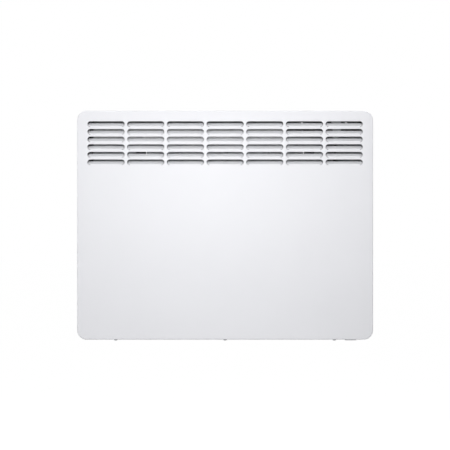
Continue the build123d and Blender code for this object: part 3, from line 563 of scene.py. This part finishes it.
def ring(x, y, radius, width, bottom, top):
    """Flat ring: outer loop up, across, inner loop down and back to the start."""
    hole = radius - width
    rows = [(radius, bottom), (radius, top), (hole, top), (hole, bottom), (radius, bottom)]
    turn = np.linspace(0, 2 * pi, RING_STEPS, endpoint=False)
    points = [np.stack([x + r * np.cos(turn), y + r * np.sin(turn), z + 0 * turn], axis=-1) for r, z in rows]
    return grid(np.stack(points), wrap=True)


def bar(x, y, width, depth, bottom, top):
    """Flat bar about its middle."""
    return prism(*square_loop(x, y, width, depth), bottom, top)


def plus(x, y, bottom, top):
    """Cross of two equal bars as one loop of twelve points."""
    r, a = SIGN_REACH, SIGN_HALF
    across = np.array([r, r, a, a, -a, -a, -r, -r, -a, -a, a, a])
    along = np.array([-a, a, a, r, r, a, a, -a, -a, -r, -r, -a])
    return prism(x + across, y + along, bottom, top)

# %% Signs on the keys
def key_sign(node):
    """Parts of the sign in the middle of a key's top."""
    low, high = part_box(node)
    x, y = (low.x + high.x) / 2, (low.y + high.y) / 2
    bottom, top = high.z - INK, high.z + INK
    width, depth = 2 * SIGN_REACH, 2 * SIGN_HALF
    if node == "key_menu":
        return [bar(x, y + step * MENU_STEP, width, depth, bottom, top) for step in (-1, 0, 1)]
    if node == "key_plus":
        return [plus(x, y, bottom, top)]
    if node == "key_ok":
        return [ring(x, y, SIGN_REACH, depth, bottom, top)]
    return [bar(x, y, width, depth, bottom, top)]


signs = []
for node in KEYS:
    sign = piece(node + "_sign", key_sign(node))
    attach(sign, node + "_cap")
    signs.append(sign)

# %% Signs on the rocker
ON_Y, OFF_Y = -79 * MM, -66.5 * MM
MARK_WIDTH, MARK_LENGTH, MARK_R = 0.8 * MM, 5 * MM, 2.5 * MM


def on_lobe(part, y):
    """A part drawn about z = 0, laid on the flat of the rocker that a ray from below meets at y."""
    view = bpy.context.evaluated_depsgraph_get()
    below, up = Vector((SWITCH_X, y, -1)), Vector((0, 0, 1))
    at, normal = soft["rocker_switch"].ray_cast(below, up, depsgraph=view)[1:3]
    points, quads = part
    lift = at.z - (points[:, 1] - y) * normal.y / normal.z
    return points + lift[:, None] * np.array([0, 0, 1]), quads


on_bar = bar(SWITCH_X, ON_Y, MARK_WIDTH, MARK_LENGTH, -INK, INK)
off_ring = ring(SWITCH_X, OFF_Y, MARK_R, MARK_WIDTH, -INK, INK)
rocker_sign = piece("rocker_signs", [on_lobe(on_bar, ON_Y), on_lobe(off_ring, OFF_Y)])
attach(rocker_sign, "rocker")
signs.append(rocker_sign)

# %% [markdown]
# ## The display
# Below the clear window lies a dark glass with three seven-segment digits, a point and a degree ring.
# Each segment is a hexagonal loop: a straight bar whose ends come to a point, so that neighbours meet
# on a diagonal. A letter names each segment, and a digit is the string of the letters that are lit.

# %% Seven-segment digits
DIGIT_W, DIGIT_H, DIGIT_STEP = 6.5 * MM, 12 * MM, 10.5 * MM
STROKE, SEGMENT_GAP = 1.3 * MM, 0.1 * MM
SEGMENT_PLACES = {  # half widths across, half heights up, and which way it lies
    "a": (0, 1, "flat"), "g": (0, 0, "flat"), "d": (0, -1, "flat"),
    "b": (1, 0.5, "up"), "c": (1, -0.5, "up"), "e": (-1, -0.5, "up"), "f": (-1, 0.5, "up"),
}
LIT = {"2": "abged", "1": "bc", "5": "afgcd"}
glass_low, glass_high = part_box("display")
DISPLAY_X, DISPLAY_Y = (glass_low.x + glass_high.x) / 2, (glass_low.y + glass_high.y) / 2
INK_LOW, INK_HIGH = glass_high.z - INK, glass_high.z + INK
print("display at", round(DISPLAY_X, 4), round(DISPLAY_Y, 4), round(glass_high.z, 4))


def segment(x, y, way):
    """One pointed bar, lying flat or standing up, a little shorter than the digit's side."""
    half = (DIGIT_W if way == "flat" else DIGIT_H / 2) / 2 - SEGMENT_GAP
    neck = half - STROKE / 2
    along = np.array([-half, -neck, neck, half, neck, -neck])
    across = np.array([0, -1, -1, 0, 1, 1]) * STROKE / 2
    if way == "flat":
        return prism(x + along, y + across, INK_LOW, INK_HIGH)
    return prism(x + across, y + along, INK_LOW, INK_HIGH)


def digit(name, x, y):
    """The lit segments of one digit about its middle."""
    places = [SEGMENT_PLACES[letter] for letter in LIT[name]]
    return [segment(x + side * DIGIT_W / 2, y + level * DIGIT_H / 2, way) for side, level, way in places]

# %% The number on the display
DIGIT_PLACES = {"2": -1.5, "1": -0.5, "5": 0.6}  # in digit steps from the middle of the display
POINT_PLACE, DEGREE_PLACE = 0.05, 1.35  # in digit steps too
DEGREE_LEVEL = 0.42  # in digit heights above the middle
DEGREE_R, DEGREE_STROKE = 1.5 * MM, 0.6 * MM
readout_parts = []
for name, place in DIGIT_PLACES.items():
    readout_parts += digit(name, DISPLAY_X + place * DIGIT_STEP, DISPLAY_Y)
point_x, point_y = DISPLAY_X + POINT_PLACE * DIGIT_STEP, DISPLAY_Y - DIGIT_H / 2
readout_parts.append(bar(point_x, point_y, STROKE, STROKE, INK_LOW, INK_HIGH))
degree_x, degree_y = DISPLAY_X + DEGREE_PLACE * DIGIT_STEP, DISPLAY_Y + DEGREE_LEVEL * DIGIT_H
readout_parts.append(ring(degree_x, degree_y, DEGREE_R, DEGREE_STROKE, INK_LOW, INK_HIGH))
readout = piece("display_digits", readout_parts)
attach(readout, "heater")

# %% [markdown]
# ## Finishes
# A finish is a Principled shader whose colour, roughness and bump change over the surface by a small
# amount, at the scale of the real texture. What several finishes share is a node group: one gives the
# grain of paint, moulded plastic and cast metal, and the other the crystals and rolling marks of zinc.

# %% Parts of a texture
def group(name, inputs, outputs):
    """New shader node group with named float inputs and float outputs."""
    tree = bpy.data.node_groups.new(name, "ShaderNodeTree")
    for label, value in inputs.items():
        socket = tree.interface.new_socket(name=label, in_out="INPUT", socket_type="NodeSocketFloat")
        socket.default_value = value
    for label in outputs:
        tree.interface.new_socket(name=label, in_out="OUTPUT", socket_type="NodeSocketFloat")
    return tree, tree.nodes.new("NodeGroupInput"), tree.nodes.new("NodeGroupOutput")


def noise(tree, scale_socket, detail, stretch=(1, 1, 1)):
    """Noise on object coordinates, stretched along an axis, at a scale in features per metre."""
    place = tree.nodes.new("ShaderNodeTexCoord")
    stretched = tree.nodes.new("ShaderNodeMapping")
    stretched.inputs["Scale"].default_value = stretch
    texture = tree.nodes.new("ShaderNodeTexNoise")
    texture.inputs["Detail"].default_value = detail
    tree.links.new(place.outputs["Object"], stretched.inputs["Vector"])
    tree.links.new(stretched.outputs["Vector"], texture.inputs["Vector"])
    tree.links.new(scale_socket, texture.inputs["Scale"])
    return texture.outputs["Fac"]


def ranged(tree, source, low_value, high_value, low_in=0.3, high_in=0.7):
    """A value brought from one range, as a rule where most of a noise lies, into another and held there."""
    fit = tree.nodes.new("ShaderNodeMapRange")
    fit.inputs["From Min"].default_value = low_in
    fit.inputs["From Max"].default_value = high_in
    fit.inputs["To Min"].default_value = low_value
    fit.inputs["To Max"].default_value = high_value
    tree.links.new(source, fit.inputs["Value"])
    return fit.outputs["Result"]

# %% Shared textures
ROLLED = (0.03, 1, 1)  # stretch of the rolling marks, which are long in X


def make_grain():
    """Grain: fine noise for height, and a slow noise for how evenly the surface is finished."""
    scales = {"Fine scale": 2500.0, "Slow scale": 60.0}
    tree, given, result = group("surface grain", scales, ["Height", "Slow"])
    tree.links.new(noise(tree, given.outputs["Fine scale"], detail=3), result.inputs["Height"])
    tree.links.new(noise(tree, given.outputs["Slow scale"], detail=2), result.inputs["Slow"])
    return tree


def make_zinc():
    """Zinc crystals: cells with a grey of their own, crossed by fine rolling marks along X."""
    scales = {"Crystal scale": 210.0, "Mark scale": 260.0}
    tree, given, result = group("zinc crystals", scales, ["Crystal", "Marks"])
    place = tree.nodes.new("ShaderNodeTexCoord")
    cells = tree.nodes.new("ShaderNodeTexVoronoi")
    tree.links.new(place.outputs["Object"], cells.inputs["Vector"])
    tree.links.new(given.outputs["Crystal scale"], cells.inputs["Scale"])
    grey = tree.nodes.new("ShaderNodeSeparateColor")
    tree.links.new(cells.outputs["Color"], grey.inputs["Color"])
    tree.links.new(grey.outputs["Red"], result.inputs["Crystal"])
    marks = noise(tree, given.outputs["Mark scale"], detail=2, stretch=ROLLED)
    tree.links.new(marks, result.inputs["Marks"])
    return tree


GRAIN = make_grain()
ZINC = make_zinc()
print("shared textures", GRAIN.name, "and", ZINC.name)

# %% [markdown]
# ## Building a finish
# Two functions make nearly all finishes. Paint, plastic and cast metal differ in colour, gloss, grain
# and relief, so one function takes those as numbers. Zinc on steel, and the mill aluminium that looks
# like it, come from the other. Constants go straight into the shader's sockets.

# %% Building a finish
MIX_A, MIX_B, MIX_OUT = 6, 7, 2  # the colour sockets of a Mix node, which share their names with others


def material(name, metallic=0.0, ior=1.5):
    """Empty material, with its node tree and its Principled shader."""
    made = bpy.data.materials.new(name)
    made.use_nodes = True
    shader = made.node_tree.nodes["Principled BSDF"]
    shader.inputs["Metallic"].default_value = metallic
    shader.inputs["IOR"].default_value = ior
    return made, made.node_tree, shader


def place_group(tree, shared, values):
    """A shared texture placed in a material with values of its own."""
    node = tree.nodes.new("ShaderNodeGroup")
    node.node_tree = shared
    for label, value in values.items():
        node.inputs[label].default_value = value
    return node.outputs


def shade(tree, factor, dark, light):
    """Colour between two, by a factor."""
    mix = tree.nodes.new("ShaderNodeMix")
    mix.data_type = "RGBA"
    mix.inputs[MIX_A].default_value = (*dark, 1)
    mix.inputs[MIX_B].default_value = (*light, 1)
    tree.links.new(factor, mix.inputs[0])
    return mix.outputs[MIX_OUT]


def bumped(tree, height, distance):
    """Normal of a relief whose full height is a distance."""
    bump = tree.nodes.new("ShaderNodeBump")
    bump.inputs["Distance"].default_value = distance
    tree.links.new(height, bump.inputs["Height"])
    return bump.outputs["Normal"]


def grained(name, dark, light, rough, fine=2500.0, slow=60.0, depth=0.02 * MM, metallic=0.0, gloss=0.5):
    """Painted, moulded or cast finish: a colour that drifts slowly, and a fine grain in its relief."""
    made, tree, shader = material(name, metallic)
    grain = place_group(tree, GRAIN, {"Fine scale": fine, "Slow scale": slow})
    drift = ranged(tree, grain["Slow"], 0, 1)
    tree.links.new(shade(tree, drift, dark, light), shader.inputs["Base Color"])
    tree.links.new(ranged(tree, grain["Slow"], *rough), shader.inputs["Roughness"])
    tree.links.new(bumped(tree, grain["Height"], depth), shader.inputs["Normal"])
    shader.inputs["Specular IOR Level"].default_value = gloss
    return made


def zinced(name, dark, light, rough, crystal=210.0, marks=260.0, depth=0.01 * MM):
    """Zinc on steel: crystals differ in grey and in gloss, and rolling marks run along the sheet."""
    made, tree, shader = material(name, metallic=1.0)
    zinc = place_group(tree, ZINC, {"Crystal scale": crystal, "Mark scale": marks})
    tree.links.new(shade(tree, zinc["Crystal"], dark, light), shader.inputs["Base Color"])
    tree.links.new(ranged(tree, zinc["Crystal"], *rough, 0, 1), shader.inputs["Roughness"])
    tree.links.new(bumped(tree, zinc["Marks"], depth), shader.inputs["Normal"])
    return made

# %% Sheet metal, paint and screws
FINISHES = {
    "casing_paint": grained(
        "white powder coat", (0.846, 0.850, 0.882), (0.861, 0.865, 0.897), (0.38, 0.46),
        fine=700.0, slow=9.0, depth=0.012 * MM,
    ),
    # Painted shade: the side sheets are black so that their lips beside the end plate and the partition look
    # as dark as the shade in those corners.
    "side_coat": grained(
        "black sheet for painted shade", (0.028, 0.028, 0.030), (0.040, 0.040, 0.043), (0.55, 0.7),
        fine=1200.0, slow=30.0, gloss=0.3,
    ),
    # Painted shade: the bracket is black so that its web, seen through the hook holes, looks as dark as the
    # unlit gap behind the heater.
    "bracket_coat": grained(
        "black bracket for painted shade", (0.018, 0.018, 0.020), (0.027, 0.027, 0.029), (0.5, 0.65),
        fine=1200.0, slow=30.0, gloss=0.3,
    ),
    # Painted shade: these galvanised sheets inside the hood have a much darker base colour than the zinc
    # plated screws, so that the interior seen through the louvres looks as dark as the shade in there.
    "panel_sheet": zinced("galvanised panel", (0.25, 0.26, 0.27), (0.30, 0.31, 0.32), (0.48, 0.56)),
    "shield_sheet": zinced("galvanised shield", (0.31, 0.32, 0.33), (0.36, 0.37, 0.38), (0.48, 0.56)),
    "duct_sheet": zinced("galvanised duct", (0.31, 0.32, 0.33), (0.36, 0.37, 0.38), (0.48, 0.56)),
    "guide_sheet": zinced(
        "mill aluminium", (0.345, 0.35, 0.355), (0.405, 0.41, 0.415), (0.4, 0.5), crystal=90.0, marks=500.0
    ),
    "screw_steel": zinced(
        "black zinc", (0.10, 0.10, 0.11), (0.16, 0.16, 0.17), (0.3, 0.45), crystal=900.0, marks=900.0
    ),
    "hex_steel": zinced(
        "zinc plated screws", (0.60, 0.60, 0.58), (0.72, 0.72, 0.70), (0.25, 0.35), crystal=900.0, marks=900.0
    ),
}
print("sheet finishes", len(FINISHES))

# %% Element, sensors and wiring
FINISHES.update({
    "element_alu": grained(
        "cast aluminium", (0.55, 0.55, 0.54), (0.66, 0.66, 0.65), (0.42, 0.6),
        fine=1500.0, slow=30.0, depth=0.03 * MM, metallic=1.0,
    ),
    "rod_steel": grained(
        "heat tinted steel", (0.30, 0.27, 0.24), (0.46, 0.43, 0.38), (0.3, 0.45),
        fine=1500.0, depth=0.01 * MM, metallic=1.0,
    ),
    "bush_ceramic": grained(
        "ceramic", (0.74, 0.70, 0.62), (0.80, 0.77, 0.70), (0.6, 0.75), fine=2000.0, slow=80.0
    ),
    "limiter_case": grained(
        "phenolic", (0.03, 0.025, 0.02), (0.05, 0.04, 0.035), (0.4, 0.55), fine=2000.0, slow=80.0
    ),
    "stud_brass": grained(
        "brass", (0.62, 0.45, 0.18), (0.74, 0.58, 0.28), (0.25, 0.4),
        slow=90.0, depth=0.005 * MM, metallic=1.0,
    ),
    "loom_sleeve": grained(
        "loom sleeve", (0.010, 0.010, 0.011), (0.03, 0.03, 0.032), (0.6, 0.8),
        fine=1400.0, slow=500.0, depth=0.15 * MM,
    ),
    "block_plastic": grained("block plastic", (0.62, 0.60, 0.53), (0.67, 0.65, 0.59), (0.45, 0.55)),
    "bushing_rubber": grained("rubber", (0.012, 0.012, 0.012), (0.022, 0.022, 0.022), (0.7, 0.85)),
    "lead_silicone": grained("silicone", (0.30, 0.03, 0.02), (0.36, 0.05, 0.03), (0.45, 0.6)),
    "sensor_plastic": grained("sensor arm", (0.66, 0.66, 0.65), (0.70, 0.70, 0.69), (0.45, 0.55)),
    "sensor_black": grained("sensor skin", (0.012, 0.012, 0.014), (0.02, 0.02, 0.022), (0.25, 0.35)),
})
print("with the heating side", len(FINISHES))

# %% Controls
FINISHES.update({
    "housing_plastic": grained(
        "housing plastic", (0.014, 0.014, 0.016), (0.022, 0.022, 0.024), (0.5, 0.65), gloss=0.25
    ),
    "clip_steel": grained(
        "spring steel", (0.38, 0.38, 0.39), (0.46, 0.46, 0.47), (0.44, 0.54), depth=0.004 * MM, metallic=1.0
    ),
    "display_glass": grained(
        "display", (0.004, 0.005, 0.006), (0.007, 0.008, 0.010), (0.08, 0.12), depth=0.001 * MM
    ),
    "connector_grey": grained("connector", (0.19, 0.20, 0.21), (0.23, 0.24, 0.25), (0.45, 0.55)),
    "board_green": grained("board lacquer", (0.010, 0.060, 0.022), (0.014, 0.080, 0.030), (0.2, 0.3)),
    "relay_black": grained("relay", (0.010, 0.010, 0.012), (0.016, 0.016, 0.018), (0.3, 0.4)),
    "supply_case": grained("supply block", (0.016, 0.016, 0.018), (0.024, 0.024, 0.026), (0.45, 0.6)),
    "capacitor_sleeve": grained("capacitor", (0.008, 0.012, 0.05), (0.012, 0.018, 0.07), (0.2, 0.3)),
    "bezel_plastic": grained(
        "bezel", (0.022, 0.022, 0.024), (0.030, 0.030, 0.033), (0.42, 0.52), fine=3000.0
    ),
    "key_plastic": grained("keys", (0.60, 0.61, 0.62), (0.66, 0.67, 0.68), (0.4, 0.5), fine=3000.0),
    "switch_plastic": grained("switch rim", (0.44, 0.44, 0.46), (0.48, 0.48, 0.50), (0.3, 0.4), fine=3000.0),
    "rocker_plastic": grained("rocker", (0.50, 0.50, 0.52), (0.55, 0.55, 0.57), (0.22, 0.32), fine=3000.0),
})
print("with the controls", len(FINISHES))

# %% Window, signs and lit digits
clear, tree, shader = material("clear window", ior=1.49)
shader.inputs["Transmission Weight"].default_value = 1.0
shader.inputs["Base Color"].default_value = (0.92, 0.94, 0.96, 1)
window_grain = place_group(tree, GRAIN, {"Fine scale": 1500.0, "Slow scale": 40.0})
tree.links.new(ranged(tree, window_grain["Slow"], 0.03, 0.07), shader.inputs["Roughness"])
FINISHES["window_clear"] = clear

PRINTED = {"fine": 3000.0, "slow": 90.0, "depth": 0.002 * MM}
sign_ink = grained("sign ink", (0.05, 0.05, 0.055), (0.07, 0.07, 0.075), (0.45, 0.55), **PRINTED)
lit_digits = grained("lit digits", (0.72, 0.78, 0.80), (0.80, 0.86, 0.88), (0.4, 0.5), **PRINTED)
digit_shader = lit_digits.node_tree.nodes["Principled BSDF"]
digit_shader.inputs["Emission Color"].default_value = (0.75, 0.9, 1.0, 1)
digit_shader.inputs["Emission Strength"].default_value = 0.35
print("finishes", len(FINISHES) + 2)

# %% Dressing
def dress(thing, finish):
    """One finish on a piece's only slot."""
    thing.data.materials.clear()
    thing.data.materials.append(finish)


for node, slot in SLOTS.items():
    frame["nodes"][node].material_slots[0].material = FINISHES[slot]
    if node in soft:
        dress(soft[node], FINISHES[slot])
for sign in signs:
    dress(sign, sign_ink)
dress(readout, lit_digits)
print("dressed", len(SLOTS), "nodes and", len(signs) + 1, "printed pieces")

# %% [markdown]
# ## Surround and floor
# The heater stands in an even white surround, as for a catalogue. Only rays that come straight from the
# camera, from a reflection or through glass see that white, so the surround can be pure white and still
# light the object at a plain level. The floor glows for the same rays, just enough to be white, and
# still takes a shadow. To a camera below it the floor is open, so that the underside can be looked at.

# %% World
AMBIENT = 0.27


def combined(tree, operation, first, second):
    """Math node over a socket and a second value, which is a socket or a number."""
    node = tree.nodes.new("ShaderNodeMath")
    node.operation = operation
    tree.links.new(first, node.inputs[0])
    if isinstance(second, float):
        node.inputs[1].default_value = second
    else:
        tree.links.new(second, node.inputs[1])
    return node.outputs[0]


def mixed(tree, factor, first, second):
    """Mix Shader node: the first shader where the factor is nothing, the second where it is one."""
    mix = tree.nodes.new("ShaderNodeMixShader")
    for socket, source in zip(mix.inputs, (factor, first.outputs[0], second.outputs[0])):
        tree.links.new(source, socket)
    return mix.outputs[0]


def straight_rays(tree):
    """One for rays from the camera, from a reflection or through glass, and nothing for scattered light."""
    rays = tree.nodes.new("ShaderNodeLightPath").outputs
    seen = combined(tree, "MAXIMUM", rays["Is Camera Ray"], rays["Is Glossy Ray"])
    return combined(tree, "MAXIMUM", seen, rays["Is Transmission Ray"])


world = bpy.data.worlds.new("surround")
bpy.context.scene.world = world
world.use_nodes = True
tree = world.node_tree
background = tree.nodes["Background"]
white = tree.nodes.new("ShaderNodeBackground")
white.inputs["Color"].default_value = (1, 1, 1, 1)
background.inputs["Color"].default_value = (1, 1, 1, 1)
background.inputs["Strength"].default_value = AMBIENT
surround = mixed(tree, straight_rays(tree), background, white)
tree.links.new(surround, tree.nodes["World Output"].inputs["Surface"])
print("surround lights the object at", AMBIENT)

# %% Floor
FLOOR_Z = -0.62
FLOOR_HALF = 40.0
FLOOR_GLOW = 0.86
FLOOR_DARK, FLOOR_LIGHT = (0.50, 0.50, 0.50), (0.52, 0.52, 0.52)

square = np.array([[[-1, -1, 0], [1, -1, 0]], [[-1, 1, 0], [1, 1, 0]]])
floor = piece("floor", [grid(square * FLOOR_HALF + [0, 0, FLOOR_Z])])
pale, tree, shader = material("pale floor")
shader.inputs["Roughness"].default_value = 0.9
shader.inputs["Emission Color"].default_value = (1, 1, 1, 1)
shader.inputs["Specular IOR Level"].default_value = 0.0
floor_grain = place_group(tree, GRAIN, {"Fine scale": 40.0, "Slow scale": 2.0})
tree.links.new(shade(tree, floor_grain["Slow"], FLOOR_DARK, FLOOR_LIGHT), shader.inputs["Base Color"])
glow = combined(tree, "MULTIPLY", straight_rays(tree), FLOOR_GLOW)
tree.links.new(glow, shader.inputs["Emission Strength"])

under = tree.nodes.new("ShaderNodeNewGeometry").outputs["Backfacing"]
camera_ray = tree.nodes.new("ShaderNodeLightPath").outputs["Is Camera Ray"]
from_below = combined(tree, "MULTIPLY", under, camera_ray)
open_floor = mixed(tree, from_below, shader, tree.nodes.new("ShaderNodeBsdfTransparent"))
tree.links.new(open_floor, tree.nodes["Material Output"].inputs["Surface"])
dress(floor, pale)

# %% [markdown]
# ## Lamps and camera
# The lamps are wide and soft. One in front and close by makes the middle of the hood a little brighter
# than its edges, two above it and one below it even that out, and one far to the left makes the left
# side lighter than the right. A long one above lights the top wall. One at each side and one behind
# keep the side walls and the back from going dark. The camera stands level with the middle of the
# hood and five metres in front of it, and its long lens takes in one and a half times the hood's width.

# %% Lamps
LAMPS = {  # place, point that it faces, width, height, watts
    "key": ((-0.03, -0.95, 0.14), (-0.03, 0, 0.12), 0.35, 0.35, 3.0),
    "upper left": ((-0.5, -0.85, 0.6), (-0.1, 0, 0.1), 0.4, 0.4, 1.25),
    "upper right": ((0.45, -0.85, 0.6), (0.1, 0, 0.1), 0.4, 0.4, 1.7),
    "lower": ((-0.03, -0.9, -0.35), (-0.03, 0, 0.1), 0.5, 0.3, 0.42),
    "left": ((-1.8, -1.2, 0.6), (0, 0, 0), 0.8, 0.8, 6.8),
    "top": ((-0.1, -0.06, 1.3), (-0.1, -0.06, 0.2), 1.0, 0.1, 3.8),
    "left side": ((-1.8, 0.5, 0.3), (-0.3, 0, 0), 0.7, 0.7, 5),
    "right side": ((1.8, 0.5, 0.3), (0.3, 0, 0), 0.7, 0.7, 8),
    "behind": ((0.9, 1.6, 1.2), (0, 0, 0), 1.0, 1.0, 24),
}


def lamp(name, place, aim, width, height, watts):
    """Rectangular area lamp at a place, turned to face a point."""
    data = bpy.data.lights.new(name, "AREA")
    data.shape = "RECTANGLE"
    data.size, data.size_y = width, height
    data.energy = watts
    thing = placed(name, data)
    thing.location = place
    way = Vector(aim) - Vector(place)
    thing.rotation_euler = way.to_track_quat("-Z", "Y").to_euler()
    thing.visible_camera = False


for name, settings in LAMPS.items():
    lamp(name, *settings)
print("lamps", len(LAMPS))

# %% Camera
DISTANCE = 5.0
VIEW_W = 0.8842  # width of the view at the hood's front
SENSOR_W = 36  # in millimetres, as the lens is
VIEW_X, VIEW_Z = -0.2 * MM, 0.4 * MM  # middle of the view
camera_data = bpy.data.cameras.new("camera")
camera_data.lens = SENSOR_W * DISTANCE / VIEW_W
print("lens", round(camera_data.lens, 1), "mm")
camera = placed("camera", camera_data)
camera.location = (VIEW_X, FRONT - DISTANCE, VIEW_Z)
camera.rotation_euler = (pi / 2, 0, 0)
bpy.context.scene.camera = camera
bpy.context.scene.view_settings.view_transform = "Standard"
